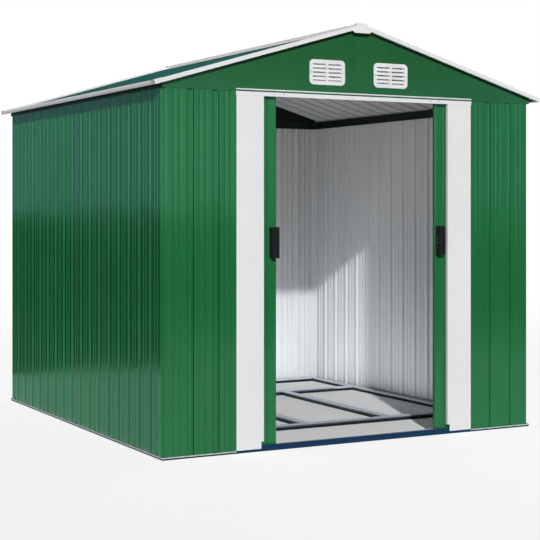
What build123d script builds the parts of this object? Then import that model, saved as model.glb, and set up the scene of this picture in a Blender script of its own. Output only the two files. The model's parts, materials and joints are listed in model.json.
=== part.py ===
from build123d import *
import os
from math import cos, radians, sin, tan

# A small apex-roofed shed of ribbed sheet metal with two sliding doors.
# Lengths are millimetres. The origin is the middle of the footprint at ground level.
# X runs across the front, Y runs from front to back, Z is up.

# Walls
wall_width = 1900.0
wall_depth = 2020.0
gable_foot = 1534.0
wall_sheet = 0.8
facing_sheet = 1.0

# Ribbing of the sheets
rib_pitch = 117.0
rib_depth = 8.0
rib_mouth = 25.0
rib_floor = 13.0
bead_depth = 3.5
bead_mouth = 10.0
bead_floor = 4.0
bead_spacing = 27.0

# Base rails and floor frame
base_sheet = 1.2
base_height = 20.0
base_width = 50.0
ledge_height = 11.5
ledge_clearance = 1.2
lip_height = 5.0
lip_reach = 3.0
floor_bar_width = 45.0
front_cross_set = 463.0
back_cross_set = 1533.0
runner_set = 460.0

# Doorway
opening_width = 957.0
threshold_height = 26.0
threshold_return = 6.0
jamb_width = 131.0
jamb_lap = 18.0
jamb_foot = 12.0
jamb_return = 15.0
jamb_notch_width = 12.0
jamb_notch_top = 42.0
header_height = 17.0
header_drop = 1.0
header_end = 3.0
header_sheet = 1.0
header_clearance = 1.0
header_lip_gap = 6.0
header_lip_height = 6.0
header_lip_reach = 3.0

# Door track
track_sheet = 1.2
track_gap = 4.8
track_lip = 14.0

# Doors
door_width = 508.0
left_reveal = 74.0
right_reveal = 54.0
door_set = 21.0
door_depth = 19.0
door_sheet = 0.8
door_foot = 14.0
door_lap = 9.0
door_rib_depth = 6.0
door_edge = 6.0
door_hem = 12.0
stile_width = 44.0
door_rail_height = 30.0
slider_length = 40.0
slider_inset = 40.0
slider_crown = 8.0
slider_clearance = 0.5
slider_seat = 0.3
guide_clearance = 2.8

# Handles
handle_height = 134.0
handle_width = 33.0
handle_depth = 34.0
handle_inset = 3.0
handle_foot = 823.0
handle_corner = 8.0
handle_edge = 2.5
grip_height = 96.0
grip_width = 13.0
grip_depth = 3.0

# Wall rails
rail_sheet = 1.2
rail_height = 22.0
rail_drop = 20.0

# Gables and vents
gable_flange = 20.0
vent_width = 180.0
vent_height = 110.0
vent_corner = 20.0
vent_border = 17.0
vent_bar = 10.0
vent_flange = 3.0
vent_rim = 12.0
vent_rim_wall = 2.0
vent_fit = 0.5
vent_spacing = 330.0
vent_rise = 97.0
slot_height = 5.0
slot_count = 5
blade_sheet = 1.5

# Roof
roof_pitch = 16.3
roof_sheet = 0.8
roof_seat = 0.3
eave_overhang = 43.0
verge_overhang = 25.0
ridge_gap = 6.0

# Roof trims
trim_sheet = 1.0
trim_height = 18.0
trim_drop = 1.2
trim_cover = 22.0
trim_return = 12.0
trim_start = 4.0
cap_sheet = 1.5
cap_length = 36.0
cap_corner = 3.0

# Ridge
ridge_flat = 41.0
ridge_foot = 64.0
ridge_spread = 140.0
ridge_lift = 6.5
ridge_end_flat = 44.0
ridge_end_width = 98.0
ridge_end_foot = 75.0
ridge_end_drop = 37.0
ridge_end_height = 44.0
ridge_end_sheet = 2.0
ridge_end_lift = 3.0

# Cuts run past the solid by this much
overrun = 60.0

# Heights and depths that follow from the sizes above
half_width = wall_width / 2
half_depth = wall_depth / 2
half_opening = opening_width / 2
jamb_outer = half_opening + jamb_width
header_outer = jamb_outer + header_end
sheet_depth = rib_depth + wall_sheet
rail_inset = sheet_depth + rail_sheet
rail_top = gable_foot + rail_height
wall_top = rail_top - rail_sheet
header_top = gable_foot - header_drop
header_foot = header_top - header_height
door_top = header_foot + door_lap
slope = radians(roof_pitch)
roof_depth = rib_depth + roof_sheet
roof_edge = half_depth + verge_overhang
roof_length = (half_width + eave_overhang) / cos(slope)
roof_seat_width = half_width + rail_sheet
ridge_height = rail_top + (roof_seat + roof_depth) / cos(slope) + roof_seat_width * tan(slope)
trim_foot = -(roof_depth + trim_drop)
trim_top = trim_foot + trim_height

# Planes of the four walls: local x runs along the wall, y points into the shed, z is up
up = (0, 0, 1)
front_side = Plane((0, -half_depth, 0), x_dir=(1, 0, 0), z_dir=up)
back_side = Plane((0, half_depth, 0), x_dir=(-1, 0, 0), z_dir=up)
left_side = Plane((-half_width, 0, 0), x_dir=(0, -1, 0), z_dir=up)
right_side = Plane((half_width, 0, 0), x_dir=(0, 1, 0), z_dir=up)


def cross_section(side, start):
    """Plane square to a wall: local x points into the shed, y is up, extrusion runs along the wall."""
    origin = side.from_local_coords((start, 0, 0))
    return Plane(origin, x_dir=side.y_dir, z_dir=side.x_dir)


def roof_slope(hand):
    """Plane of one roof slope: local x runs down the slope, z is its outward normal."""
    down = (hand * cos(slope), 0, -sin(slope))
    outward = (hand * sin(slope), 0, cos(slope))
    return Plane((0, 0, ridge_height), x_dir=down, z_dir=outward)


def slope_height(across, lift):
    """Height of a line that lies lift above the roof's outer face, at a distance across from the middle."""
    return ridge_height + lift / cos(slope) - across * tan(slope)


def save(piece, name):
    piece.part.label = name
    export_step(piece.part, f"parts/{name}.step")


def groove(centre, mouth, floor, depth):
    """Four points of one pressed groove."""
    return [
        (centre - mouth / 2, 0),
        (centre - floor / 2, depth),
        (centre + floor / 2, depth),
        (centre + mouth / 2, 0),
    ]


def ribbing(zero, run, depth, bead):
    """Grooves along a sheet: deep ribs one pitch apart, a pair of beads between ribs, a bead at each end."""
    count = max(1, round(run / rib_pitch))
    step = run / count
    rows = [(zero, bead_mouth, bead_floor, bead)]
    for index in range(count):
        middle = zero + step * (index + 1 / 2)
        rows.append((middle - bead_spacing / 2, bead_mouth, bead_floor, bead))
        rows.append((middle + bead_spacing / 2, bead_mouth, bead_floor, bead))
        if index < count - 1:
            rows.append((zero + step * (index + 1), rib_mouth, rib_floor, depth))
    rows.append((zero + run, bead_mouth, bead_floor, bead))
    return rows


def sheet_line(start, stop, rows):
    """Points of a sheet from start to stop with every groove that lies wholly between them."""
    points = [(start, 0)]
    for centre, mouth, floor, depth in rows:
        if start < centre - mouth / 2 and centre + mouth / 2 < stop:
            points += groove(centre, mouth, floor, depth)
    points.append((stop, 0))
    return points


def fold_outline(points, thickness):
    """Closed outline of a sheet laid on the left of a line of folds, or on the right if negative."""
    line = [Vector(*point) for point in points]
    runs = [(after - before).normalized() for before, after in zip(line, line[1:])]
    lefts = [Vector(-run.Y, run.X) for run in runs]
    far_side = []
    for index, point in enumerate(line):
        before = lefts[max(index - 1, 0)]
        after = lefts[min(index, len(lefts) - 1)]
        far_side.append(point + (before + after) * (thickness / (1 + before.dot(after))))
    return line + far_side[::-1]


def folded(plane, points, thickness, length):
    """A sheet folded along a line and run out to a length."""
    with BuildPart() as piece:
        with BuildSketch(plane):
            with BuildLine():
                Polyline(*fold_outline(points, thickness), close=True)
            make_face()
        extrude(amount=length)
    return piece


def wall(side, run, inset, start, stop):
    """A ribbed wall sheet on its base rail. Its ends at the corners turn in as half of a deep rib."""
    half_run = run / 2
    corner_lip = half_run - rib_mouth / 2
    turn = [(half_run - rib_floor / 2, rib_depth), (half_run - inset, rib_depth)]
    rows = ribbing(-half_run, run, rib_depth, bead_depth)
    points = sheet_line(max(start, -corner_lip), min(stop, corner_lip), rows)
    if start < -corner_lip:
        points = [(-across, inward) for across, inward in turn[::-1]] + points
    if stop > corner_lip:
        points += turn
    return folded(side.offset(ledge_height), points, wall_sheet, wall_top - ledge_height)


os.makedirs("parts", exist_ok=True)

# Side and back walls run from corner to corner, where the front and back sheets butt on the side sheets
side_run = wall_depth - rib_depth * 2
front_run = wall_width - rib_depth * 2
for name, side in (("left_wall", left_side), ("right_wall", right_side)):
    save(wall(side, side_run, 0, -half_depth, half_depth), name)
save(wall(back_side, front_run, wall_sheet, -half_width, half_width), "back_wall")

# The front wall is split by the doorway and runs behind the jambs
panel_end = jamb_outer - jamb_lap
save(wall(front_side, front_run, wall_sheet, -half_width, -panel_end), "front_wall_left")
save(wall(front_side, front_run, wall_sheet, panel_end, half_width), "front_wall_right")

# Base rails: a lip for the walls to stand on, and a raised channel inside it
lip_foot = ledge_height - lip_height
riser_set = sheet_depth + ledge_clearance
raised_rail = [
    (0, 0),
    (0, lip_foot),
    (-lip_reach, lip_foot),
    (-lip_reach, ledge_height),
    (riser_set, ledge_height),
    (riser_set, base_height),
    (base_width, base_height),
    (base_width, 0),
]
channel_rail = [
    (base_sheet, ledge_height),
    (-lip_reach, ledge_height),
    (-lip_reach, lip_foot),
    (0, lip_foot),
    (0, 0),
    (base_width, 0),
    (base_width, base_height),
]


def base_rail(side, profile, thickness, plan):
    """A base rail folded along a wall, with its ends cut to a plan outline."""
    reach = max(across for across, inward in plan)
    strip = folded(cross_section(side, -reach), profile, thickness, reach * 2)
    with BuildPart() as rail:
        add(strip.part)
        with BuildSketch(side):
            with BuildLine():
                Polyline(*plan, close=True)
            make_face()
        extrude(amount=base_height, mode=Mode.INTERSECT)
    return rail


def rail_end(half_length, end, through):
    """Plan of one end of a base rail: mitred through its whole width, or in the lip alone."""
    lip_point = (end * (half_length + lip_reach), -lip_reach)
    if through:
        return [lip_point, (end * (half_length - base_width), base_width)]
    return [lip_point, (end * (half_length - base_sheet), base_sheet)]


back_plan = rail_end(half_width, -1, True)[::-1] + rail_end(half_width, 1, True)
save(base_rail(back_side, raised_rail, -base_sheet, back_plan), "base_rail_back")

# The side rails stop at the front channel, apart from the lip
for name, side, end in (("left", left_side, 1), ("right", right_side, -1)):
    channel_end = end * (half_depth - base_width)
    front_end = rail_end(half_depth, end, False) + [(channel_end, base_sheet), (channel_end, base_width)]
    side_plan = rail_end(half_depth, -end, True)[::-1] + front_end
    save(base_rail(side, raised_rail, -base_sheet, side_plan), f"base_rail_{name}")

# The front rail is an open channel. Its lip is cut for the threshold and its web stops at the side walls
channel_half = half_width - base_sheet
web_half = half_width - riser_set
web_face = base_width - base_sheet
front_plan = rail_end(half_width, -1, False)[::-1] + rail_end(half_width, 1, False)
front_plan += [(channel_half, web_face), (web_half, web_face), (web_half, base_width)]
front_plan += [(-web_half, base_width), (-web_half, web_face), (-channel_half, web_face)]
channel = base_rail(front_side, channel_rail, base_sheet, front_plan)
with BuildPart() as base_rail_front:
    add(channel.part)
    with BuildSketch(front_side):
        with Locations((0, base_sheet)):
            Rectangle(jamb_outer * 2, base_width, align=(Align.CENTER, Align.MAX))
    extrude(amount=base_height, mode=Mode.SUBTRACT)
save(base_rail_front, "base_rail_front")

# Threshold: a plate in front of the channel, turned in along its top, with low ears under the jambs
threshold_line = [(0, 0), (0, threshold_height), (threshold_return, threshold_height)]
plate = folded(cross_section(front_side, -panel_end), threshold_line, -base_sheet, panel_end * 2)
with BuildPart() as threshold:
    add(plate.part)
    with BuildSketch(front_side):
        Rectangle(jamb_outer * 2, base_sheet, align=(Align.CENTER, Align.MIN))
    extrude(amount=ledge_height)
save(threshold, "threshold")

# Floor frame: upturned channels that lie between the side rails
floor_profile = [
    (-floor_bar_width / 2, 0),
    (-floor_bar_width / 2, base_height),
    (floor_bar_width / 2, base_height),
    (floor_bar_width / 2, 0),
]
cross_half = half_width - base_width
for name, inset in (("front", front_cross_set), ("back", back_cross_set)):
    middle = Plane((-cross_half, inset - half_depth, 0), x_dir=(0, 1, 0), z_dir=(1, 0, 0))
    save(folded(middle, floor_profile, -base_sheet, cross_half * 2), f"floor_cross_{name}")
runner_start = front_cross_set - half_depth + floor_bar_width / 2
runner_length = back_cross_set - front_cross_set - floor_bar_width
runners = []
for across in (-runner_set, 0, runner_set):
    middle = Plane((across, runner_start, 0), x_dir=(-1, 0, 0), z_dir=(0, 1, 0))
    runners.append(folded(middle, floor_profile, -base_sheet, runner_length))
with BuildPart() as floor_runners:
    add([runner.part for runner in runners])
save(floor_runners, "floor_runners")

# Jambs: a flat face over the wall's edge, turned in beside the doorway and notched at its foot
for name, hand in (("left", -1), ("right", 1)):
    jamb_line = [(hand * half_opening, -facing_sheet), (hand * jamb_outer, -facing_sheet)]
    facing = folded(front_side.offset(jamb_foot), jamb_line, hand * facing_sheet, header_top - jamb_foot)
    with BuildPart() as jamb:
        add(facing.part)
        with BuildSketch(front_side.offset(jamb_notch_top)):
            with Locations((hand * half_opening, -facing_sheet)):
                align = (Align.MIN if hand > 0 else Align.MAX, Align.MIN)
                Rectangle(facing_sheet, facing_sheet + jamb_return, align=align)
        extrude(amount=header_foot - jamb_notch_top)
        with BuildSketch(front_side.offset(jamb_foot)):
            with Locations((hand * half_opening, 0)):
                Rectangle(jamb_notch_width * 2, jamb_return * 2)
        extrude(amount=jamb_notch_top - jamb_foot, mode=Mode.SUBTRACT)
    save(jamb, f"jamb_{name}")

# Header: a face over the jambs' tops, turned in over the doorway as far as the track
header_half = half_opening - header_clearance
header_face = -facing_sheet - header_sheet
with BuildPart() as door_header:
    with BuildSketch(cross_section(front_side, -header_outer)):
        with Locations((header_face, header_foot)):
            Rectangle(header_sheet, header_height, align=(Align.MIN, Align.MIN))
    extrude(amount=header_outer * 2)
    with BuildSketch(cross_section(front_side, -header_half)):
        with Locations((header_face, header_foot)):
            Rectangle(sheet_depth - header_face, header_sheet, align=(Align.MIN, Align.MIN))
    extrude(amount=header_half * 2)
save(door_header, "door_header")

# Lip: a slim bead on the gable just above the header
with BuildPart() as header_lip:
    with BuildSketch(cross_section(front_side, -header_outer)):
        with Locations((-facing_sheet, header_top + header_lip_gap)):
            Rectangle(header_lip_reach, header_lip_height, align=(Align.MAX, Align.MIN))
    extrude(amount=header_outer * 2)
    outer_edges = header_lip.edges().filter_by(Axis.X).group_by(Axis.Y)[0]
    chamfer(outer_edges, length=header_lip_reach / 2)
save(header_lip, "header_lip")

# Door track: a flange on the backs of the ribs, a shelf, and an upturned lip that the sliders hook over
track_half = half_width - rail_inset
track_back = sheet_depth + track_sheet
track_face = track_back + track_gap + track_sheet
track_line = [
    (sheet_depth, wall_top),
    (sheet_depth, header_foot),
    (track_face, header_foot),
    (track_face, header_foot + track_lip),
]
save(folded(cross_section(front_side, -track_half), track_line, track_sheet, track_half * 2), "door_track")

# Wall rails: channels over the tops of the side walls, and an angle inside the back wall
side_rail_line = [
    (-rail_sheet, gable_foot),
    (-rail_sheet, rail_top),
    (rail_inset, rail_top),
    (rail_inset, gable_foot - rail_drop),
]
for name, side in (("left", left_side), ("right", right_side)):
    strip = folded(cross_section(side, -half_depth), side_rail_line, -rail_sheet, wall_depth)
    with BuildPart() as wall_rail:
        add(strip.part)
        for end in (-1, 1):
            with BuildSketch(side.offset(gable_foot - rail_drop)):
                with Locations((end * half_depth, 0)):
                    Rectangle(rail_inset * 2, overrun, align=(Align.CENTER, Align.MIN))
            extrude(amount=rail_drop + rail_height, mode=Mode.SUBTRACT)
    save(wall_rail, f"wall_rail_{name}")
back_rail_line = [(0, rail_top), (rail_inset, rail_top), (rail_inset, gable_foot - rail_drop)]
back_rail = folded(cross_section(back_side, -track_half), back_rail_line, -rail_sheet, track_half * 2)
save(back_rail, "wall_rail_back")

# Gables: a flat face over the wall's top, turned in along both slopes under the roof's flats
gable_half = half_width + rail_sheet
gable_lift = -roof_sheet - roof_seat
vent_window_width = vent_width - vent_border * 2
vent_window_height = vent_height - vent_border * 2
vent_places = [(hand * vent_spacing / 2, gable_foot + vent_rise) for hand in (-1, 1)]
for name, side, vents in (("front", front_side, vent_places), ("back", back_side, [])):
    upright = Plane(side.origin, x_dir=side.x_dir, z_dir=-side.y_dir)
    eave = slope_height(gable_half, gable_lift)
    peak = slope_height(0, gable_lift)
    with BuildPart() as gable:
        with BuildSketch(upright):
            with BuildLine():
                Polyline(
                    (-gable_half, gable_foot),
                    (gable_half, gable_foot),
                    (gable_half, eave),
                    (0, peak),
                    (-gable_half, eave),
                    close=True,
                )
            make_face()
            if vents:
                with Locations(*vents):
                    hole = vent_rim_wall * 2 + vent_fit * 2
                    Rectangle(vent_window_width + hole, vent_window_height + hole, mode=Mode.SUBTRACT)
        extrude(amount=facing_sheet)
        with BuildSketch(upright):
            with BuildLine():
                slopes = [(track_half, slope_height(track_half, gable_lift)), (0, peak)]
                slopes.append((-track_half, slope_height(track_half, gable_lift)))
                Polyline(*fold_outline(slopes, facing_sheet), close=True)
            make_face()
        extrude(amount=-gable_flange)
    save(gable, f"{name}_gable")

# Vents: a rounded flange with two windows, a rim through the gable, and sloping blades between five slots
blade_count = slot_count - 1
blade_step = (vent_window_height - slot_height) / blade_count
blade_height = blade_step - slot_height
for name, place in zip(("left", "right"), vent_places):
    middle = Plane((place[0], -half_depth - facing_sheet, place[1]), x_dir=(1, 0, 0), z_dir=(0, -1, 0))
    with BuildPart() as vent:
        with BuildSketch(middle):
            RectangleRounded(vent_width, vent_height, vent_corner)
        extrude(amount=vent_flange)
        with BuildSketch(middle):
            Rectangle(vent_window_width + vent_rim_wall * 2, vent_window_height + vent_rim_wall * 2)
        extrude(amount=-vent_rim)
        with BuildSketch(middle.offset(vent_flange)):
            bar_shift = (vent_window_width + vent_bar) / 4
            with Locations((-bar_shift, 0), (bar_shift, 0)):
                Rectangle((vent_window_width - vent_bar) / 2, vent_window_height)
        extrude(amount=-vent_flange - vent_rim, mode=Mode.SUBTRACT)
        blade_start = middle.from_local_coords((-vent_window_width / 2, 0, 0))
        with BuildSketch(Plane(blade_start, x_dir=(0, 1, 0), z_dir=(1, 0, 0))):
            for index in range(blade_count):
                foot = slot_height + index * blade_step - vent_window_height / 2
                with BuildLine():
                    Polyline(
                        (-vent_flange, foot),
                        (-vent_flange + blade_sheet, foot),
                        (vent_rim, foot + blade_height),
                        (vent_rim - blade_sheet, foot + blade_height),
                        close=True,
                    )
                make_face()
        extrude(amount=vent_window_width)
    save(vent, f"vent_{name}")

# Roof: a ribbed sheet on each slope
roof_rows = ribbing(-side_run / 2, side_run, -rib_depth, -bead_depth)[1:-1]
roof_line = sheet_line(-roof_edge, roof_edge, roof_rows)
hands = (("left", -1), ("right", 1))
edges = (("front", -1), ("back", 1))
for name, hand in hands:
    fall = roof_slope(hand)
    top_edge = Plane(fall.from_local_coords((ridge_gap, 0, 0)), x_dir=fall.y_dir, z_dir=fall.x_dir)
    save(folded(top_edge, roof_line, -roof_sheet, roof_length - ridge_gap), f"roof_{name}")

# Roof trims: one channel section, along each verge and each eave
trim_line = [
    (-trim_return, trim_foot),
    (trim_sheet, trim_foot),
    (trim_sheet, trim_top),
    (-trim_cover, trim_top),
    (-trim_cover, 0),
]
verge_length = roof_length + trim_sheet - trim_start
eave_half = roof_edge - trim_cover
for name, hand in hands:
    fall = roof_slope(hand)
    eave = Plane(fall.from_local_coords((roof_length, eave_half, 0)), x_dir=fall.x_dir, z_dir=-fall.y_dir)
    save(folded(eave, trim_line, trim_sheet, eave_half * 2), f"eave_trim_{name}")
    for end_name, end in edges:
        toward = end * hand
        corner = fall.from_local_coords((trim_start, toward * roof_edge, 0))
        verge = Plane(corner, x_dir=fall.y_dir * toward, z_dir=fall.x_dir * toward)
        save(folded(verge, trim_line, trim_sheet, toward * verge_length), f"gable_trim_{end_name}_{name}")

# Corner caps: a thin cover over the ends of the trims at each corner of the roof
cap_reach = trim_sheet + cap_sheet


def corner_cap(fall, end):
    """A cover with two sides, rounded at its outer corner."""
    aligned = (Align.MAX, Align.MAX if end > 0 else Align.MIN)
    outer_corner = (roof_length + cap_reach, end * (roof_edge + cap_reach))
    with BuildPart() as cap:
        with BuildSketch(fall.offset(trim_top + cap_sheet)) as cover:
            with Locations(outer_corner):
                Rectangle(cap_length, cap_length, align=aligned)
            fillet(cover.vertices().sort_by_distance(outer_corner)[0], radius=cap_corner)
        extrude(amount=-trim_height - cap_sheet)
        with BuildSketch(fall.offset(trim_top)):
            with Locations((roof_length + trim_sheet, end * (roof_edge + trim_sheet))):
                Rectangle(cap_length, cap_length, align=aligned)
        extrude(amount=-trim_height, mode=Mode.SUBTRACT)
    return cap


caps = [corner_cap(roof_slope(hand), end) for hand in (-1, 1) for end in (-1, 1)]
with BuildPart() as corner_caps:
    add([cap.part for cap in caps])
save(corner_caps, "corner_caps")

# Ridge cap: a raised flat with shoulders and flanges that lie on both slopes
ridge_crown = ridge_height + ridge_lift
ridge_line = [
    (-ridge_spread / 2, slope_height(ridge_spread / 2, 0)),
    (-ridge_foot / 2, slope_height(ridge_foot / 2, 0)),
    (-ridge_flat / 2, ridge_crown),
    (ridge_flat / 2, ridge_crown),
    (ridge_foot / 2, slope_height(ridge_foot / 2, 0)),
    (ridge_spread / 2, slope_height(ridge_spread / 2, 0)),
]
ridge_start = Plane((0, eave_half, 0), x_dir=(1, 0, 0), z_dir=(0, -1, 0))
save(folded(ridge_start, ridge_line, trim_sheet, eave_half * 2), "ridge_cap")

# Ridge ends: a six-sided plate where the verge trims meet, with a hood that runs back to the ridge cap
end_top = ridge_crown + trim_sheet + ridge_end_lift
shoulder = ridge_end_drop / ((ridge_end_width - ridge_end_flat) / 2)
hood_foot = slope_height(0, trim_top)
hood_half = (end_top + shoulder * ridge_end_flat / 2 - hood_foot) / (shoulder - tan(slope))
hood_eave = slope_height(hood_half, trim_top)
for name, end in edges:
    plate = Plane((0, end * (roof_edge + trim_sheet), 0), x_dir=(-end, 0, 0), z_dir=(0, end, 0))
    with BuildPart() as ridge_end:
        with BuildSketch(plate):
            with BuildLine():
                Polyline(
                    (-ridge_end_flat / 2, end_top),
                    (ridge_end_flat / 2, end_top),
                    (ridge_end_width / 2, end_top - ridge_end_drop),
                    (ridge_end_foot / 2, end_top - ridge_end_height),
                    (-ridge_end_foot / 2, end_top - ridge_end_height),
                    (-ridge_end_width / 2, end_top - ridge_end_drop),
                    close=True,
                )
            make_face()
        extrude(amount=ridge_end_sheet)
        with BuildSketch(plate):
            with BuildLine():
                Polyline(
                    (-ridge_end_flat / 2, end_top),
                    (ridge_end_flat / 2, end_top),
                    (hood_half, hood_eave),
                    (0, hood_foot),
                    (-hood_half, hood_eave),
                    close=True,
                )
            make_face()
        extrude(amount=-trim_sheet - trim_cover)
    save(ridge_end, f"ridge_end_{name}")

# Doors: a ribbed leaf turned back at both edges, with a channel inside its top and bottom
stile_rows = ribbing(stile_width, door_width - stile_width * 2, door_rib_depth, bead_depth)
leaf_line = [(door_hem, door_depth), (0, door_depth), (0, door_edge)]
leaf_line += sheet_line(door_edge, door_width - door_edge, stile_rows)
leaf_line += [(door_width, door_edge), (door_width, door_depth), (door_width - door_hem, door_depth)]
door_rail_front = door_set + door_rib_depth + door_sheet
door_back = door_set + door_depth
door_rail_inset = door_hem + slider_clearance
door_rail_length = door_width - door_rail_inset * 2
hook_foot = header_foot + track_lip + slider_seat
tongue_foot = header_foot + track_sheet + guide_clearance
tongue_front = track_back + slider_clearance
tongue_back = track_back + track_gap - slider_clearance
slider_outline = [
    (tongue_front, tongue_foot),
    (tongue_back, tongue_foot),
    (tongue_back, hook_foot),
    (door_rail_front, hook_foot),
    (door_rail_front, door_top),
    (door_back, door_top),
    (door_back, hook_foot + slider_crown),
    (tongue_front, hook_foot + slider_crown),
]
guide_foot = base_sheet + guide_clearance
left_lead = half_opening - left_reveal
right_lead = half_opening - right_reveal
door_places = (("left", -1, left_lead), ("right", 1, right_lead))
for name, hand, lead in door_places:
    plan = [(hand * (lead + across), door_set + inward) for across, inward in leaf_line]
    leaf = folded(front_side.offset(door_foot), plan, hand * door_sheet, door_top - door_foot)
    save(leaf, f"door_{name}")

    near_end = lead if hand > 0 else -lead - door_width
    start = cross_section(front_side, near_end + door_rail_inset)
    strips = []
    for foot in (door_foot, door_top - door_rail_height):
        rail_line = [
            (door_back, foot),
            (door_rail_front, foot),
            (door_rail_front, foot + door_rail_height),
            (door_back, foot + door_rail_height),
        ]
        strips.append(folded(start, rail_line, -base_sheet, door_rail_length))
    with BuildPart() as door_rails:
        add([strip.part for strip in strips])
    save(door_rails, f"door_rails_{name}")

    with BuildPart() as door_sliders:
        for place in (slider_inset, door_width - slider_inset - slider_length):
            with BuildSketch(cross_section(front_side, near_end + place)):
                with BuildLine():
                    Polyline(*slider_outline, close=True)
                make_face()
                with Locations((door_set, guide_foot)):
                    Rectangle(door_depth, door_foot - guide_foot, align=(Align.MIN, Align.MIN))
            extrude(amount=slider_length)
    save(door_sliders, f"door_sliders_{name}")

# Handles: an upright pull near each door's leading edge, rounded and grooved for fingers on the jamb side
for name, hand, lead in door_places:
    across = hand * (lead + handle_inset + handle_width / 2)
    door_face = door_set - half_depth
    middle = handle_foot + handle_height / 2
    with BuildPart() as handle:
        with BuildSketch(Plane((across, door_face, middle), x_dir=(1, 0, 0), z_dir=(0, -1, 0))) as outline:
            Rectangle(handle_width, handle_height)
            fillet(outline.vertices().group_by(Axis.X)[0 if hand < 0 else -1], radius=handle_corner)
        extrude(amount=handle_depth)
        chamfer(handle.faces().sort_by(Axis.Y)[0].edges(), length=handle_edge)
        grip_place = (across + hand * handle_width / 2, door_face - handle_depth / 2, middle)
        with BuildSketch(Plane(grip_place, x_dir=(0, 1, 0), z_dir=(hand, 0, 0))):
            SlotOverall(grip_height, grip_width, rotation=90)
        extrude(amount=-grip_depth, mode=Mode.SUBTRACT)
    save(handle, f"handle_{name}")
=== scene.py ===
import bmesh
import bpy
import json
import math
from bpy.props import FloatProperty, FloatVectorProperty, IntProperty, PointerProperty
from mathutils import Matrix, Vector


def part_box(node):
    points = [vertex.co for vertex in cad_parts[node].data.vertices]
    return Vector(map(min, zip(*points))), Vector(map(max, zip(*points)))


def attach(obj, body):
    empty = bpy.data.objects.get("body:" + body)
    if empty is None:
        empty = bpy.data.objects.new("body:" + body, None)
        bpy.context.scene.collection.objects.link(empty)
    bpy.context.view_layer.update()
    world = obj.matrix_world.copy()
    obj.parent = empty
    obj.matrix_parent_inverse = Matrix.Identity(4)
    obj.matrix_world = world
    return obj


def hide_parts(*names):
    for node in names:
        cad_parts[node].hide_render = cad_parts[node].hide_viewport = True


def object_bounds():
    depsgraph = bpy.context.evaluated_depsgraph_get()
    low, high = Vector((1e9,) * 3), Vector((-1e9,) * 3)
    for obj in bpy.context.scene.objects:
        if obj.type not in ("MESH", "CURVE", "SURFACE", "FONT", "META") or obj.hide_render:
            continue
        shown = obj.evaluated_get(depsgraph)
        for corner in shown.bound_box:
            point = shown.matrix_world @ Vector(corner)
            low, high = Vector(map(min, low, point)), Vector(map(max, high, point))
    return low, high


bl_info = {
    "name": "Ribbed Metal Shed",
    "version": (1, 0, 0),
    "blender": (4, 5, 0),
    "location": "View3D > Sidebar > Shed",
    "description": "Dresses the packed shed with folded sheets, screws, finishes and a stage",
    "category": "Object",
}

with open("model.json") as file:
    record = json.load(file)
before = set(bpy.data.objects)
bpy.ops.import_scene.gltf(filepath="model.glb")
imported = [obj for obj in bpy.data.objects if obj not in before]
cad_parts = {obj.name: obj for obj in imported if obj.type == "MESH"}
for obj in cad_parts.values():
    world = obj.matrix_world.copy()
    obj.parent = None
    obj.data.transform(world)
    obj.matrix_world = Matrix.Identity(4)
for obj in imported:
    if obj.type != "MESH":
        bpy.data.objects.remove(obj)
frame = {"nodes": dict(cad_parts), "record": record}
cad_box = [list(corner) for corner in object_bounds()]

UP = Vector((0, 0, 1))


def number(name, description, default, **kind):
    """A property that holds a number."""
    return FloatProperty(name=name, description=description, default=default, **kind)


def length(name, description, default):
    """A property that holds a length in metres."""
    return number(name, description, default, min=0, unit="LENGTH", precision=4)


def angle(name, description, degrees):
    """A property that holds an angle, given here in degrees."""
    return number(name, description, math.radians(degrees), subtype="ANGLE")


def count(name, description, default):
    """A property that holds how many of something there are."""
    return IntProperty(name=name, description=description, default=default, min=2, max=64)


def triple(name, description, default, **kind):
    """A property that holds a place or a direction."""
    return FloatVectorProperty(name=name, description=description, default=default, size=3, **kind)


def tint(name, description, default):
    """A property that holds a paint's colour."""
    return triple(name, description, default, subtype="COLOR", min=0, max=1)


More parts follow.
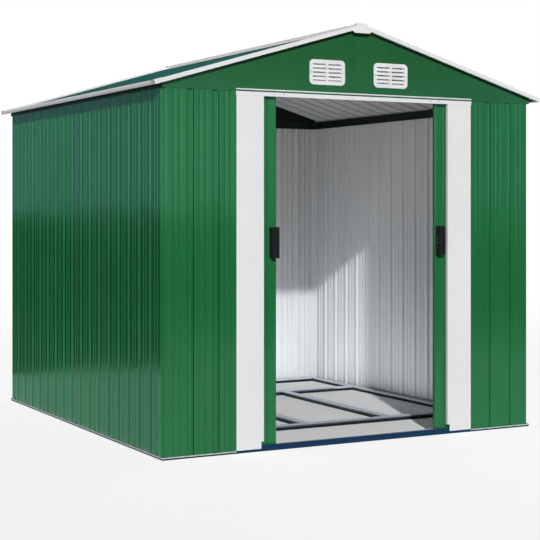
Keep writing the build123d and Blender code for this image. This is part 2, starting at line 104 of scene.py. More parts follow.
class ShedSheets(bpy.types.PropertyGroup):
    """Sizes of the ribbed sheets and the eave trims"""
    rib_pitch: length("Rib pitch", "Distance from one rib to the next", 0.117)
    rib_mouth: length("Rib mouth", "Width of a rib at the sheet's face", 0.025)
    rib_floor: length("Rib floor", "Width of a rib's flat bottom", 0.013)
    rib_depth: length("Rib depth", "Depth of the ribs in walls and roof", 0.008)
    bead_mouth: length("Bead mouth", "Width of a bead at the sheet's face", 0.010)
    bead_floor: length("Bead floor", "Width of a bead's flat bottom", 0.004)
    bead_depth: length("Bead depth", "Depth of the beads", 0.0035)
    bead_spacing: length("Bead spacing", "Distance between the two beads of a pair", 0.027)
    crown: length("Crown", "Rise of the flats between grooves", 0.0008)
    seam: length("Seam", "Width of the lap seam beside each rib of the walls", 0.0045)
    seam_rise: number("Seam rise", "Depth of a lap seam's outer edge, as a share of the crown", 0.6)
    # The roof's seam strips underneath are painted shade.
    roof_rib_shade: length("Roof seam", "Width of the dark seam beside each rib under the roof", 0.010)
    sheet: length("Sheet", "Thickness of the sheets", 0.0008)
    trim_cover: length("Trim cover", "Reach of the eave trims over the roof", 0.022)
    trim_height: length("Trim height", "Height of the eave trims", 0.018)
    trim_return: length("Trim return", "Their reach under the roof", 0.012)
    trim_hem: length("Trim hem", "Depth of their inner edge", 0.0065)
    trim_roll: length("Trim roll", "Radius of their rolled edge", 0.013)
    roll_folds: count("Roll folds", "Folds round it", 6)
    roof_pitch: angle("Roof pitch", "Slope of the roof", 16.3)
    ridge_gap: length("Ridge gap", "Distance from the ridge line to the roof sheets", 0.006)
    door_rib_depth: length("Door rib depth", "Depth of the ribs in the doors", 0.006)
    door_stile: length("Door stile", "Plain strip along a door's edges", 0.044)
    door_edge: length("Door edge", "Width of the sloping edge of a door's face", 0.006)
    door_hem: length("Door hem", "Width of the fold behind a door's edges", 0.012)
    smooth_bend: angle("Smooth bend", "Bends up to this angle are shaded as curves", 30)


class ShedScrews(bpy.types.PropertyGroup):
    """Sizes and places of the screws and washers"""
    washer: length("Washer", "Radius of the washer", 0.0046)
    washer_sheet: length("Washer sheet", "Thickness of the washer", 0.0007)
    head: length("Head", "Radius of the screw head", 0.0032)
    head_height: length("Head height", "Height of the screw head", 0.0014)
    head_side: number("Head side", "Upright share of the head's height", 0.55)
    head_top: number("Head top", "Width of the head's top, as a share of the head", 0.72)
    head_bend: angle("Head bend", "Bends up to this angle are shaded as curves", 35)
    recess: length("Recess", "Radius of the driver recess", 0.0013)
    sides: count("Sides", "Sides of washer and head", 10)
    spin: number("Spin", "Turn from one screw to the next", 0.7, subtype="ANGLE")
    rows: count("Rows", "Screws up each corner of the walls and up each jamb", 5)
    pair: length("Pair", "Half of the distance between the two screws of a pair", 0.009)


class ShedColours(bpy.types.PropertyGroup):
    """Colours of the paints, plastics and bare metal"""
    green: tint("Green", "Gloss paint on walls and doors", (0.0140, 0.142, 0.0435))
    # Painted shadow: the dark green of the lap seam strip beside each rib.
    seam: tint("Seam", "Shadowed lap seam beside each rib of the walls", (0.003, 0.030, 0.010))
    # Painted shade: a darker copy of the walls' green, standing in for the gables' weaker light.
    gable_shaded: tint("Gable", "Gloss paint on the gables", (0.018, 0.112, 0.036))
    # Painted shade: near-black on the gables' inner faces.
    shadow: tint("Shadow", "Dark coat inside the gables", (0.008, 0.010, 0.008))
    # Painted shade: near-black paint on the wall rails, which sit in shadow under the eaves; it also paints
    # the shade in the roof's ribs.
    rail_shade: tint("Rail", "Dark paint on the wall rails", (0.006, 0.009, 0.009))
    roof: tint("Roof", "Gloss paint on the roof", (0.009, 0.138, 0.114))
    lining: tint("Lining", "Pale coat inside the walls and doors", (0.515, 0.515, 0.52))
    white: tint("White", "Satin paint on jambs and verges", (0.80, 0.80, 0.81))
    # Painted light: a lighter copy of the white satin paint, to lift the eave trims, which face away from
    # the key light; the ridge cap takes it too.
    lit_trim: tint("Trim", "Satin paint on eaves and ridge", (0.96, 0.935, 0.955))
    plastic: tint("White plastic", "Moulded vents and caps", (0.80, 0.80, 0.81))
    black: tint("Black", "Moulded handles and sliders", (0.010, 0.011, 0.012))
    navy: tint("Navy", "Paint on the threshold", (0.005, 0.028, 0.084))
    zinc: tint("Zinc", "Galvanised rails and floor frame", (0.60, 0.64, 0.71))
    # Painted shade: the colour of the floor frame's upright faces, and, darker still, of its painted contact
    # shadow at the foot.
    shade_slate: tint("Slate", "Dull upright faces of the floor frame", (0.06, 0.075, 0.095))
    plating: tint("Plating", "Bare screws", (0.48, 0.50, 0.53))
    # Painted shade: a darker copy of the pale lining, for the underside of the roof, which the floor lamp
    # lights strongly.
    roof_lining_shaded: tint("Roof lining", "Pale coat under the roof", (0.34, 0.34, 0.335))
    floor: tint("Floor", "Studio floor", (0.80, 0.80, 0.80))
    screen_low: tint("Screen low", "Foot of the screens that the gloss paint mirrors", (0.02, 0.026, 0.026))
    side_high: tint("Side screen", "Band of the side screen above eye level", (0.15, 0.33, 0.40))
    ring_left: tint("Ring left", "Band of the ring of screens, on the left", (0.38, 0.95, 0.68))
    ring_right: tint("Ring right", "That band on the right", (0.08, 0.20, 0.22))
    ring_floor: tint("Ring floor", "Sheets on the floor that the gloss paint mirrors", (0.215, 0.41, 0.32))


class ShedStage(bpy.types.PropertyGroup):
    """Camera, lamps and floor"""
    camera_place: triple("Camera", "Place of the camera", (-3.221, -6.161, 1.034), unit="LENGTH")
    camera_turn: angle("Turn", "Heading of the level camera", -28.29)
    lens: number("Lens", "Focal length in millimetres", 91.16)
    shift: number("Shift", "Vertical shift of the frame", -0.113)
    key_aim: triple("Key", "Direction of the key light", (0.3724, 1, -0.487), subtype="DIRECTION")
    key_strength: number("Key strength", "Strength of the key light", 3.1)
    key_spread: angle("Key spread", "Apparent size of the key light", 1.6)
    back_aim: triple("Back", "Direction of the light from behind", (-0.6, -0.75, -0.25), subtype="DIRECTION")
    back_strength: number("Back strength", "Strength of that light", 1.0)
    back_spread: angle("Back spread", "Apparent size of that light", 50)
    sky_strength: number("Sky strength", "Strength of the even light", 0.06)
    fill_power: number("Fill power", "Power of the lamp on the floor, in watts", 14.5)
    fill_cool: tint("Fill cool", "Colour of that lamp", (0.87, 0.95, 1.0))
    fill_back: length("Fill back", "How far behind the middle that lamp lies", 0.3)
    fill_margin: length("Fill margin", "Distance from that lamp to the walls", 0.1)
    door_power: number("Door power", "Power of the lamp behind the doorway, in watts", 4)
    fill_warm: tint("Fill warm", "Colour of that lamp", (1.0, 0.87, 0.78))
    door_fill: length("Door fill", "Width of that lamp, and its distance from the front", 0.5)
    floor_size: length("Floor size", "Width of the studio floor", 60)
    floor_glow: number("Floor glow", "Glow of the floor as the camera sees it", 0.76)
    # Painted shade on the floor beside the shed.
    floor_shade_dip: number("Floor dip", "Fall of that glow beside the shed", 0.06)
    glow_start: length("Glow start", "Where the floor starts to turn white", 3)
    glow_stop: length("Glow stop", "Where it is white", 9)
    side_screen: triple("Side screen", "Foot of the screen behind the shed", (-2.4, 2.1, 0), unit="LENGTH")
    side_width: length("Side width", "Width of that screen", 8)
    ring_radius: length("Ring radius", "Radius of the ring of screens", 5.5)
    ring_glow: number("Ring glow", "Glow of that ring's band", 2.0)
    screen_height: length("Screen height", "Height of the screens", 6)


class Value:
    """A shader socket that takes part in sums."""

    def __init__(self, finish, socket):
        self.finish = finish
        self.socket = socket

    def math(self, operation, first, second):
        return self.finish.node("ShaderNodeMath", {"operation": operation}, {0: first, 1: second})

    def __add__(self, other):
        return self.math("ADD", self, other)

    def __sub__(self, other):
        return self.math("SUBTRACT", self, other)

    def __rsub__(self, other):
        return self.math("SUBTRACT", other, self)

    def __mul__(self, other):
        return self.math("MULTIPLY", self, other)

    def __truediv__(self, other):
        return self.math("DIVIDE", self, other)

    __radd__ = __add__
    __rmul__ = __mul__

    def larger(self, other):
        return self.math("MAXIMUM", self, other)

    def size(self):
        return self.math("ABSOLUTE", self, 0)


class Finish:
    """A material whose nodes are added by expressions."""

    def __init__(self, name, **constants):
        self.material = bpy.data.materials.new(name)
        self.material.use_nodes = True
        self.tree = self.material.node_tree
        self.shader = self.tree.nodes["Principled BSDF"]
        for socket, value in constants.items():
            self.shader.inputs[socket.replace("_", " ")].default_value = value
        self.place = self.node("ShaderNodeTexCoord", output="Object")

    @classmethod
    def of_world(cls, world):
        """The same for the world behind the shed."""
        finish = cls.__new__(cls)
        finish.tree = world.node_tree
        finish.shader = finish.tree.nodes["Background"]
        finish.shader.inputs["Color"].default_value = (1, 1, 1, 1)
        return finish

    def plug(self, socket, value):
        if isinstance(value, Value):
            self.tree.links.new(value.socket, socket)
        else:
            socket.default_value = value

    def node(self, kind, settings=None, inputs=None, output=0):
        """Any node: its settings are set first, then the values or links of its sockets."""
        made = self.tree.nodes.new(kind)
        for key, value in (settings or {}).items():
            if key == "stops":
                for element, (position, grey) in zip(made.color_ramp.elements, value):
                    element.position = position
                    element.color = (grey, grey, grey, 1)
            else:
                setattr(made, key, value)
        for key, value in (inputs or {}).items():
            self.plug(made.inputs[key], value)
        return Value(self, made.outputs[output])

    def stretched(self, scale):
        """Object coordinates multiplied along each axis."""
        return self.node("ShaderNodeMapping", {}, {"Vector": self.place, "Scale": scale})

    def noise(self, scale, detail=2.0, rough=0.5, vector=None):
        inputs = {"Vector": vector or self.place, "Scale": scale, "Detail": detail, "Roughness": rough}
        return self.node("ShaderNodeTexNoise", {}, inputs)

    def part(self, vector, axis):
        """One part of a vector."""
        return self.node("ShaderNodeSeparateXYZ", {}, {"Vector": vector}, output=axis)

    def ramp(self, value, low, high):
        """Value spread from 0 to 1 between low and high."""
        return self.node("ShaderNodeValToRGB", {"stops": ((low, 0.0), (high, 1.0))}, {"Fac": value})

    def mix(self, share, first, second):
        """Colour that goes from first to second."""
        factor, colour_a, colour_b, colour = 0, 6, 7, 2
        inputs = {factor: share, colour_a: first, colour_b: second}
        return self.node("ShaderNodeMix", {"data_type": "RGBA"}, inputs, output=colour)

    def bump(self, height, distance, strength=1.0, normal=None):
        inputs = {"Height": height, "Distance": distance, "Strength": strength}
        if normal:
            inputs["Normal"] = normal
        return self.node("ShaderNodeBump", {}, inputs)

    def surface(self, colour, roughness, normal=None, **others):
        sockets = {"Base Color": colour, "Roughness": roughness, "Normal": normal}
        sockets.update({key.replace("_", " "): value for key, value in others.items()})
        for socket, value in sockets.items():
            if value is not None:
                self.plug(self.shader.inputs[socket], value)
        return self.material


def background_seen(finish):
    """One where the camera, a reflection or glass looks, and zero where light is gathered."""
    camera, glossy, clear = (
        finish.node("ShaderNodeLightPath", output=name)
        for name in ("Is Camera Ray", "Is Glossy Ray", "Is Transmission Ray")
    )
    return camera.larger(glossy).larger(clear)


def shade(colour, share):
    """The colour made darker or lighter, with full alpha."""
    return (*[min(1, part * share) for part in colour], 1)


def sheet_paint(name, colour, gloss, wave, lining=None, sheen=0.5):
    """Gloss paint on rolled sheet: a faint mottle, upright streaks, orange peel and slightly wavy flats."""
    finish = Finish(name, Specular_IOR_Level=sheen)
    mottle = finish.noise(2.6, 3.0)
    streaks = finish.noise(1.0, 4.0, 0.6, finish.stretched((38, 38, 1.2)))
    speckle = finish.noise(900, 1.0)
    share = finish.ramp(mottle * 0.5 + streaks * 0.35 + speckle * 0.15, 0.32, 0.68)
    colours = finish.mix(share, shade(colour, 0.88), shade(colour, 1.12))
    # For the gables the lining colour is the near-black shadow colour: painted shade on their inner faces.
    if lining:
        facing = finish.node("ShaderNodeNewGeometry", output="Normal")
        outward = finish.part(facing, "Y") * finish.part(finish.place, "Y")
        colours = finish.mix(finish.ramp(outward, 0.05, 0.3), shade(lining, 1), colours)
    rough = gloss + mottle * 0.06 + speckle * 0.05
    waves = finish.bump(finish.noise(5.5, 1.0), wave)
    peel = finish.bump(finish.noise(420, 2.0), 0.00006, 0.7, waves)
    return finish.surface(colours, rough, peel)


def satin_paint(name, colour):
    """Satin white paint with a faint warm and cool drift and a fine skin."""
    finish = Finish(name, Specular_IOR_Level=0.15)
    drift = finish.noise(3.2, 3.0)
    dust = finish.noise(160, 3.0, 0.65)
    share = finish.ramp(drift * 0.6 + dust * 0.4, 0.36, 0.66)
    colours = finish.mix(share, shade(colour, 0.955), shade(colour, 1.02))
    skin = finish.bump(finish.noise(520, 2.0), 0.00005, 0.6, finish.bump(finish.noise(6.0, 1.0), 0.0009))
    return finish.surface(colours, 0.36 + dust * 0.12, skin)


def back_coat(name, colour):
    """Thin pale coat on the inner side of the sheets, with upright roller marks."""
    finish = Finish(name, Specular_IOR_Level=0.1)
    marks = finish.noise(1.0, 4.0, 0.6, finish.stretched((60, 60, 0.8)))
    cloud = finish.noise(2.0, 3.0)
    share = finish.ramp(marks * 0.55 + cloud * 0.45, 0.34, 0.66)
    colours = finish.mix(share, shade(colour, 0.93), shade(colour, 1.05))
    skin = finish.bump(finish.noise(380, 2.0), 0.00005, 0.6)
    return finish.surface(colours, 0.42 + marks * 0.12, skin)


def moulded_plastic(name, colour, rough, grain, sheen):
    """Moulded plastic with a fine eroded grain and a faint sheen drift."""
    finish = Finish(name, Specular_IOR_Level=sheen)
    grains = finish.noise(grain, 3.0, 0.6)
    drift = finish.noise(9.0, 2.0)
    share = finish.ramp(grains * 0.5 + drift * 0.5, 0.36, 0.64)
    colours = finish.mix(share, shade(colour, 0.93), shade(colour, 1.06))
    skin = finish.bump(grains, 0.00012, 0.7)
    return finish.surface(colours, rough + drift * 0.12, skin)


def galvanised(name, zinc, shade_slate):
    """Galvanised steel with crystals. Tops, outer lips and upper edges are pale zinc as painted highlight
    and painted reflection, upright faces a dark grey-blue as painted shade, and the foot nearly black as
    painted contact shadow.
    """
    finish = Finish(name, Specular_IOR_Level=0.3)
    cells = {"Vector": finish.place, "Scale": 110.0}
    crystals = finish.node("ShaderNodeTexVoronoi", {"feature": "F1"}, cells, output="Color")
    tone = finish.node("ShaderNodeSeparateColor", {}, {"Color": crystals})
    patches = finish.noise(14, 4.0, 0.6)
    share = finish.ramp(tone * 0.5 + patches * 0.5, 0.25, 0.75)
    facing = finish.node("ShaderNodeNewGeometry", output="Normal")
    height = finish.part(finish.place, "Z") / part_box("floor_runners")[1].z
    width, depth = -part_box("base_rail_left")[0].x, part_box("base_rail_back")[1].y
    across = finish.part(finish.place, "X").size() / width
    along = finish.part(finish.place, "Y").size() / depth
    # Painted light: upright faces turn pale towards their tops, more so beside the walls.
    rim = finish.ramp(across, 0.8, 0.85).larger(finish.ramp(along, 0.6, 0.9))
    edge = finish.ramp(height + rim * 0.2, 0.84, 1.04) * (0.6 + rim * 0.2)
    lit_share = finish.ramp(finish.part(facing, "Z"), 0.5, 0.8).larger(edge)
    side, end = (finish.ramp(place, 0.996, 0.998) for place in (across, along))
    # The dull mix is painted shade, the pale mix painted highlight and painted reflection.
    dull = finish.mix(share, shade(shade_slate, 0.8), shade(shade_slate, 1.2))
    lit_zinc = finish.mix(share, shade(zinc, 0.86), shade(zinc, 1.12))
    outer = side.larger(end)
    # Painted contact shadow: nearly black along the foot of every member.
    foot = finish.ramp(height + outer * 0.25, 0.5, 0.66)
    colours = finish.mix(foot, shade(shade_slate, 0.1), finish.mix(lit_share.larger(outer), dull, lit_zinc))
    skin = finish.bump(patches * 0.6 + tone * 0.4, 0.0001, 0.6)
    return finish.surface(colours, 0.4 + tone * 0.12 + patches * 0.1, skin, Metallic=0.3 + patches * 0.3)


def brushed_zinc(name, colour):
    """Plated screw heads with turned rings and dull spots."""
    finish = Finish(name, Specular_IOR_Level=0.5)
    rings = finish.noise(700, 2.0)
    spots = finish.noise(120, 3.0)
    share = finish.ramp(rings * 0.6 + spots * 0.4, 0.3, 0.7)
    colours = finish.mix(share, shade(colour, 0.8), shade(colour, 1.3))
    skin = finish.bump(rings, 0.00005, 0.6)
    return finish.surface(colours, 0.3 + spots * 0.15, skin, Metallic=0.8 + spots * 0.15)


class Paints:
    """The finishes, each made when it is first asked for."""

    makers = {
        "green_paint": lambda name, c: sheet_paint(name, c.green, 0.09, 0.0016),
        # Dark seam strips: painted shadow.
        "seam_shadow_paint": lambda name, c: sheet_paint(name, c.seam, 0.3, 0.0016, sheen=0.1),
        # The gables: darker green as painted shade, and painted shade on their inner side.
        "gable_shaded_paint": lambda name, c: sheet_paint(name, c.gable_shaded, 0.09, 0.0016, c.shadow),
        # Near-black: painted shade on the wall rails and in the roof's ribs.
        "rail_shade_paint": lambda name, c: sheet_paint(name, c.rail_shade, 0.3, 0.0008),
        "roof_paint": lambda name, c: sheet_paint(name, c.roof, 0.42, 0.0012, sheen=0.2),
        "back_coat": lambda name, c: back_coat(name, c.lining),
        # Painted shade under the roof.
        "roof_shaded_coat": lambda name, c: back_coat(name, c.roof_lining_shaded),
        "white_paint": lambda name, c: satin_paint(name, c.white),
        # Lighter white: painted light.
        "lit_trim_paint": lambda name, c: satin_paint(name, c.lit_trim),
        "white_plastic": lambda name, c: moulded_plastic(name, c.plastic, 0.32, 900, 0.12),
        "black_plastic": lambda name, c: moulded_plastic(name, c.black, 0.3, 1100, 0.15),
        "navy_paint": lambda name, c: sheet_paint(name, c.navy, 0.3, 0.0008, sheen=0.2),
        "galvanised_steel": lambda name, c: galvanised(name, c.zinc, c.shade_slate),
        "screw_zinc": lambda name, c: brushed_zinc(name, c.plating),
    }

    @classmethod
    def get(cls, paint):
        name = f"shed_{paint}"
        made = bpy.data.materials.get(name)
        return made or cls.makers[paint](name, bpy.context.scene.shed_colours)


def set_mode(mode):
    bpy.ops.object.mode_set(mode=mode)


def extrude(step):
    """Draws out what is selected."""
    bpy.ops.mesh.extrude_region_move(TRANSFORM_OT_translate={"value": step})


def deselect():
    """Leaves nothing selected, in object mode."""
    if bpy.context.object and bpy.context.object.mode != "OBJECT":
        set_mode("OBJECT")
    bpy.ops.object.select_all(action="DESELECT")


def choose(piece):
    deselect()
    piece.select_set(True)
    bpy.context.view_layer.objects.active = piece


def pick(piece, kind, test):
    """Selects the vertices or faces of a piece in edit mode that pass a test."""
    bpy.ops.mesh.select_mode(type=kind)
    bpy.ops.mesh.select_all(action="DESELECT")
    mesh = bmesh.from_edit_mesh(piece.data)
    for part in {"VERT": mesh.verts, "FACE": mesh.faces}[kind]:
        if test(part):
            part.select_set(True)
    mesh.select_flush_mode()
    bmesh.update_edit_mesh(piece.data)


def settle():
    """Puts the place, turn and scale of the chosen objects into their meshes."""
    bpy.ops.object.transform_apply(location=True, rotation=True, scale=True)


def set_in_place(piece, matrix):
    """Moves a piece and puts its place and turn into its mesh."""
    choose(piece)
    piece.matrix_world = matrix
    settle()


def name_piece(piece, name):
    piece.name = name
    piece.data.name = name


def turned(origin, along, inward, run):
    """Matrix that takes x along a sheet, y into the shed and z along the sheet's folds."""
    turn = Matrix((along, inward, run)).transposed().to_4x4()
    return Matrix.Translation(origin) @ turn


def finish_piece(piece, body, slot, paints, *nodes):
    """Gives a piece its finishes and body, and hides the nodes that it stands for. Its slot is not used."""
    while len(piece.data.materials) < len(paints):
        piece.data.materials.append(None)
    for index, paint in enumerate(paints):
        piece.data.materials[index] = Paints.get(paint)
    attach(piece, body)
    if nodes:
        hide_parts(*nodes)


def groove(centre, mouth, floor, depth, crown):
    """Four folds of one pressed groove."""
    return [
        (centre - mouth / 2, crown),
        (centre - floor / 2, depth),
        (centre + floor / 2, depth),
        (centre + mouth / 2, crown),
    ]


def ribbing(sizes, zero, run, rib_depth):
    """Folds along a sheet: ribs one pitch apart, a pair of beads between ribs, a bead at each end."""
    panels = max(1, round(run / sizes.rib_pitch))
    step = run / panels
    bead = (sizes.bead_mouth, sizes.bead_floor, sizes.bead_depth)
    rows = [(zero, *bead)]
    for index in range(panels):
        middle = zero + step * (index + 0.5)
        rows.append((middle - sizes.bead_spacing / 2, *bead))
        rows.append((middle + sizes.bead_spacing / 2, *bead))
        if index < panels - 1:
            rows.append((zero + step * (index + 1), sizes.rib_mouth, sizes.rib_floor, rib_depth))
    rows.append((zero + run, *bead))
    return rows


def sheet_line(start, stop, rows, crown):
    """Folds of a sheet from start to stop: crowned flats, and each groove that lies wholly between."""
    line = [(start, 0)]
    for row in rows:
        if start < row[0] - row[1] / 2 and row[0] + row[1] / 2 < stop:
            folds = groove(*row, crown)
            line += [((line[-1][0] + folds[0][0]) / 2, 0)] + folds
    return line + [(stop, 0)]


def seamed(line, sizes, width):
    """The folds with one more beside each deep rib, and the strips between, which are lap seams."""
    folds, strips = [], []
    for before, fold in zip([line[0]] + line, line):
        folds.append(fold)
        if before[1] == sizes.rib_depth and fold[1] == sizes.crown:
            folds.append((fold[0] + width, sizes.crown * sizes.seam_rise))
            strips.append((fold[0], fold[0] + width))
    return folds, strips


def wall_line(sizes, run, start, stop):
    """Folds of a wall sheet. Its ends at the corners of the shed turn in as half of a deep rib."""
    lip, shelf = run / 2 - sizes.rib_mouth / 2, run / 2 - sizes.rib_floor / 2
    rows = ribbing(sizes, -run / 2, run, sizes.rib_depth)
    line = sheet_line(max(start, -lip), min(stop, lip), rows, sizes.crown)
    if start < -lip:
        line = [(start, sizes.rib_depth), (-shelf, sizes.rib_depth)] + line
    if stop > lip:
        line += [(shelf, sizes.rib_depth), (stop, sizes.rib_depth)]
    return line


def fold_sheet(name, line, run, sizes):
    """A sheet drawn out from fold to fold, then given its thickness on the inner side."""
    deselect()
    x, y = line[0]
    middle = (x - run / 2, y, run / 2)
    bpy.ops.mesh.primitive_plane_add(size=run, location=middle, rotation=(math.pi / 2, 0, 0))
    piece = bpy.context.object
    name_piece(piece, name)
    settle()
    set_mode("EDIT")
    pick(piece, "VERT", lambda vert: vert.co.x < x - run / 2)
    bpy.ops.mesh.delete(type="VERT")
    bpy.ops.mesh.select_all(action="SELECT")
    for before, after in zip(line, line[1:]):
        extrude((after[0] - before[0], after[1] - before[1], 0))
    bpy.ops.mesh.select_all(action="SELECT")
    bpy.ops.mesh.normals_make_consistent(inside=False)
    set_mode("OBJECT")
    if sum(face.normal.y * face.area for face in piece.data.polygons) > 0:
        set_mode("EDIT")
        bpy.ops.mesh.select_all(action="SELECT")
        bpy.ops.mesh.flip_normals()
        set_mode("OBJECT")
    wall = piece.modifiers.new("thickness", "SOLIDIFY")
    wall.thickness = sizes.sheet
    wall.offset = -1
    wall.use_even_offset = True
    wall.material_offset = 1
    piece.data.materials.append(None)
    piece.data.materials.append(None)
    bpy.ops.object.modifier_apply(modifier=wall.name)
    bpy.ops.object.shade_smooth_by_angle(angle=sizes.smooth_bend)
    return piece


def mark_seams(piece, strips, side):
    """Gives the lap seams on one side of a sheet, -1 outside or 1 inside, the piece's third finish, a dark
    paint that is painted shadow.
    """
    piece.data.materials.append(None)
    set_mode("EDIT")
    pick(piece, "FACE", lambda face: face.normal.y * side > 0.5 and any(
        start < face.calc_center_median().x < stop for start, stop in strips))
    piece.active_material_index = 2
    bpy.ops.object.material_slot_assign()
    set_mode("OBJECT")


def wall_faces():
    """Outer faces of the left, right, front and back walls."""
    left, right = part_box("left_wall")[0].x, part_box("right_wall")[1].x
    return left, right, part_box("front_wall_left")[0].y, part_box("back_wall")[1].y


def down_slope(pitch, hand):
    """Directions down a roof slope, -1 left or 1 right, and in through its sheet."""
    rise, reach = math.sin(pitch), math.cos(pitch)
    return Vector((hand * reach, 0, -rise)), Vector((-hand * rise, 0, -reach))


class SHED_OT_wall_sheets(bpy.types.Operator):
    """Fold the five ribbed wall sheets, green outside and pale inside"""
    bl_idname = "shed.wall_sheets"
    bl_label = "Wall Sheets"

    def execute(self, context):
        sizes = context.scene.shed_sheets
        left, right, front, back = wall_faces()
        side_run = back - front - sizes.rib_depth * 2
        front_run = right - left - sizes.rib_depth * 2
        walls = {
            "left_wall": (Vector((left, 0, 0)), Vector((0, -1, 0)), side_run),
            "right_wall": (Vector((right, 0, 0)), Vector((0, 1, 0)), side_run),
            "back_wall": (Vector((0, back, 0)), Vector((-1, 0, 0)), front_run),
            "front_wall_left": (Vector((0, front, 0)), Vector((1, 0, 0)), front_run),
            "front_wall_right": (Vector((0, front, 0)), Vector((1, 0, 0)), front_run),
        }
        for node, (origin, along, run) in walls.items():
            low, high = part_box(node)
            start, stop = sorted((low.dot(along), high.dot(along)))
            line, strips = seamed(wall_line(sizes, run, start, stop), sizes, sizes.seam)
            piece = fold_sheet(f"{node}_sheet", line, high.z - low.z, sizes)
            mark_seams(piece, strips, -1)
            set_in_place(piece, turned(origin + UP * low.z, along, UP.cross(along), UP))
            finish_piece(piece, "shed", "green_paint", ("green_paint", "back_coat", "seam_shadow_paint"), node)
        return {"FINISHED"}


class SHED_OT_roof_sheets(bpy.types.Operator):
    """Fold the two ribbed roof sheets"""
    bl_idname = "shed.roof_sheets"
    bl_label = "Roof Sheets"

    def execute(self, context):
        sizes = context.scene.shed_sheets
        wall_low, wall_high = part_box("left_wall")
        run = wall_high.y - wall_low.y
        rows = ribbing(sizes, -run / 2, run, sizes.rib_depth)[1:-1]
        # The third finish, near-black, paints shade in strips beside the ribs under the roof.
        paints = ("roof_paint", "roof_shaded_coat", "rail_shade_paint")
        reach = math.cos(sizes.roof_pitch)
        for name, hand in (("left", -1), ("right", 1)):
            low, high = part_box(f"roof_{name}")
            slope = max(-low.x, high.x) / reach - sizes.ridge_gap
            down, under = down_slope(sizes.roof_pitch, hand)
            origin = Vector((hand * sizes.ridge_gap * reach, 0, high.z))
            line, strips = seamed(sheet_line(low.y, high.y, rows, sizes.crown), sizes, sizes.roof_rib_shade)
            piece = fold_sheet(f"roof_{name}_sheet", line, slope, sizes)
            mark_seams(piece, strips, 1)
            set_in_place(piece, turned(origin, under.cross(down), under, down))
            finish_piece(piece, "shed", "green_paint", paints, f"roof_{name}")
        return {"FINISHED"}


class SHED_OT_eave_trims(bpy.types.Operator):
    """Fold the trims along the eaves, with a rolled outer edge"""
    bl_idname = "shed.eave_trims"
    bl_label = "Eave Trims"

    def execute(self, context):
        sizes = context.scene.shed_sheets
        roll, cover = sizes.trim_roll, sizes.trim_cover
        line = [(-cover, sizes.trim_hem), (-cover, 0)]
        for bend in spread(0, math.pi / 2, sizes.roll_folds + 1):
            line.append((roll * (math.sin(bend) - 1), roll * (1 - math.cos(bend))))
        line += [(0, sizes.trim_height), (-sizes.trim_return, sizes.trim_height)]
        for name, hand in (("left", -1), ("right", 1)):
            node = bpy.data.objects[f"eave_trim_{name}"]
            corner = max((vert.co for vert in node.data.vertices), key=lambda place: hand * place.x)
            low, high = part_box(node.name)
            down, under = down_slope(sizes.roof_pitch, hand)
            origin = Vector((corner.x, low.y if hand > 0 else high.y, corner.z))
            piece = fold_sheet(f"eave_trim_{name}_roll", line, high.y - low.y, sizes)
            set_in_place(piece, turned(origin, down, under, down.cross(under)))
            # Their lighter white is painted light.
            finish_piece(piece, "shed", "white_paint", ("lit_trim_paint", "lit_trim_paint"), node.name)
        return {"FINISHED"}


class SHED_OT_door_leaves(bpy.types.Operator):
    """Fold the two ribbed door leaves with their turned edges and hems"""
    bl_idname = "shed.door_leaves"
    bl_label = "Door Leaves"

    def execute(self, context):
        sizes = context.scene.shed_sheets
        for name in ("left", "right"):
            low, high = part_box(f"door_{name}")
            width, depth = high.x - low.x, high.y - low.y
            rows = ribbing(sizes, sizes.door_stile, width - sizes.door_stile * 2, sizes.door_rib_depth)
            line = [(sizes.door_hem, depth), (0, depth), (0, sizes.door_edge)]
            line += sheet_line(sizes.door_edge, width - sizes.door_edge, rows, sizes.crown)
            line += [(width, sizes.door_edge), (width, depth), (width - sizes.door_hem, depth)]
            piece = fold_sheet(f"door_{name}_leaf", line, high.z - low.z, sizes)
            set_in_place(piece, Matrix.Translation(low))
            finish_piece(piece, f"{name}_door", "green_paint", ("green_paint", "back_coat"), f"door_{name}")
        return {"FINISHED"}


def screw(sizes):
    """A pan-head screw on its washer, pointing along z, with its washer's underside at the origin."""
    deselect()
    thick = sizes.washer_sheet
    bpy.ops.mesh.primitive_cylinder_add(
        vertices=sizes.sides, radius=sizes.washer, depth=thick, location=(0, 0, thick / 2)
    )
    piece = bpy.context.object
    settle()
    set_mode("EDIT")
    pick(piece, "FACE", lambda face: face.normal.z > 0.9)
    apothem = math.cos(math.pi / sizes.sides)
    bpy.ops.mesh.inset(thickness=(sizes.washer - sizes.head) * apothem)
    side, top = sizes.head_height * sizes.head_side, sizes.head_top
    crown = sizes.head_height - side
    extrude((0, 0, side))
    extrude((0, 0, crown))
    bpy.ops.transform.resize(value=(top, top, 1))
    bpy.ops.mesh.inset(thickness=(sizes.head * top - sizes.recess) * apothem)
    extrude((0, 0, -crown))
    set_mode("OBJECT")
    bpy.ops.object.shade_smooth_by_angle(angle=sizes.head_bend)
    return piece


def set_screws(name, places, body, slot, paint, scale=1.0):
    """Copies of one screw, joined. Each place is a point and the direction that the head faces."""
    sizes = bpy.context.scene.shed_screws
    model = screw(sizes)
    copies = []
    for index, (point, facing) in enumerate(places):
        copy = model.copy()
        copy.data = model.data.copy()
        bpy.context.scene.collection.objects.link(copy)
        turn = Vector(facing).to_track_quat("Z", "Y").to_matrix().to_4x4()
        spin = Matrix.Rotation(index * sizes.spin, 4, "Z")
        copy.matrix_world = Matrix.Translation(point) @ turn @ spin @ Matrix.Scale(scale, 4)
        copies.append(copy)
    bpy.data.objects.remove(model)
    deselect()
    for copy in copies:
        copy.select_set(True)
    bpy.context.view_layer.objects.active = copies[0]
    settle()
    bpy.ops.object.join()
    name_piece(bpy.context.object, name)
    finish_piece(bpy.context.object, body, slot, (paint,))


